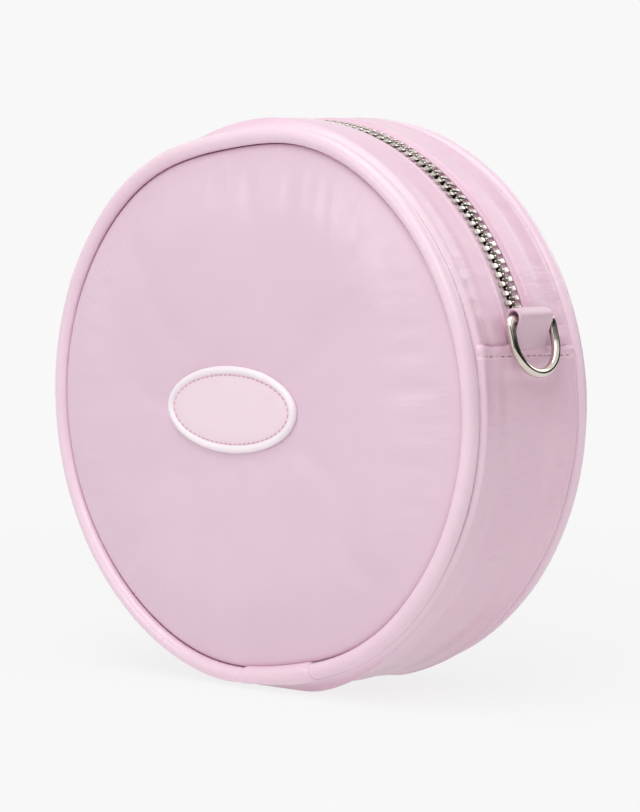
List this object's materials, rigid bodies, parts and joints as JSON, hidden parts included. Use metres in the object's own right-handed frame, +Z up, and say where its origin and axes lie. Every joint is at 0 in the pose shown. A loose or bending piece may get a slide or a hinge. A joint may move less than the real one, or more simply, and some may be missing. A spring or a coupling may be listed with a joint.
{
  "type": "belt bag",
  "caption": "Round belt bag in coated leather with piped seams, a metal zipper round the top, a strap ring at each side and a bare oval patch on the front.",
  "frame": {"origin": "middle of the flat foot that the bag stands on, under the centre of the two round panels", "axes": "+Z up, through the centre of the bag and the top of the zipper; +Y towards the back, along the bag's round axis, so that the front panel with the patch faces -Y; +X to the right as seen from the front"},
  "size_m": [0.2008, 0.0649, 0.1891],
  "materials": {
    "leather": "smooth coated, semi-gloss",
    "lining": "plain woven, matt",
    "foam": "soft board, matt",
    "cord": "matt",
    "binding": "ribbed, matt",
    "tape": "woven, matt",
    "metal": "warm polished nickel",
    "patch": "moulded, satin",
    "patch_field": "satin",
    "thread": "matt"
  },
  "bodies": {
    "bag": {"front_panel": "leather", "rear_panel": "leather", "front_stiffener": "foam", "rear_stiffener": "foam", "front_lining": "lining", "rear_lining": "lining", "front_piping_wrap": "leather", "rear_piping_wrap": "leather", "front_piping_cord": "cord", "rear_piping_cord": "cord", "front_seam_binding": "binding", "rear_seam_binding": "binding", "lower_gusset": "leather", "lower_gusset_foam": "foam", "lower_gusset_lining": "lining", "rear_zip_strip": "leather", "rear_strip_lining": "lining", "rear_zip_tape": "tape", "rear_teeth": "metal", "front_top_stop": "metal", "rear_top_stop": "metal", "bottom_stop": "metal", "right_ring_tab": "leather", "left_ring_tab": "leather", "patch_plate": "patch", "patch_field": "patch_field", "patch_stitches": "thread", "right_seam_stitches": "thread", "left_seam_stitches": "thread"},
    "mouth_flap": {"front_zip_strip": "leather", "front_strip_lining": "lining", "front_zip_tape": "tape", "front_teeth": "metal"},
    "zip_slider": {"slider": "metal"},
    "zip_pull": {"pull_tab": "metal"},
    "right_ring": {"right_d_ring": "metal"},
    "left_ring": {"left_d_ring": "metal"}
  },
  "joints": [
    {"name": "slider_travel", "type": "hinge", "parent": "bag", "child": "zip_slider", "pos_m": [0, 0, 0.09455], "axis": [0, 1, 0], "range_deg": [0, 124], "deforming": ["rear_teeth", "front_teeth"]},
    {"name": "pull_flip", "type": "hinge", "parent": "zip_slider", "child": "zip_pull", "pos_m": [-0.08547, 0, 0.14], "axis": [0, 1, 0], "range_deg": [0, 130]},
    {"name": "right_ring_swing", "type": "hinge", "parent": "bag", "child": "right_ring", "pos_m": [0.09471, 0, 0.12405], "axis": [0, -1, 0], "range_deg": [0, 150]},
    {"name": "left_ring_swing", "type": "hinge", "parent": "bag", "child": "left_ring", "pos_m": [-0.09471, 0, 0.12405], "axis": [0, 1, 0], "range_deg": [0, 150]},
    {"name": "mouth_open", "type": "hinge", "parent": "bag", "child": "mouth_flap", "pos_m": [0, -0.028, 0.13655], "axis": [1, 0, 0], "range_deg": [0, 28], "deforming": ["front_zip_strip", "front_strip_lining", "front_zip_tape", "front_teeth", "front_panel", "front_stiffener", "front_lining", "front_piping_wrap", "front_piping_cord", "front_seam_binding"]}
  ]
}
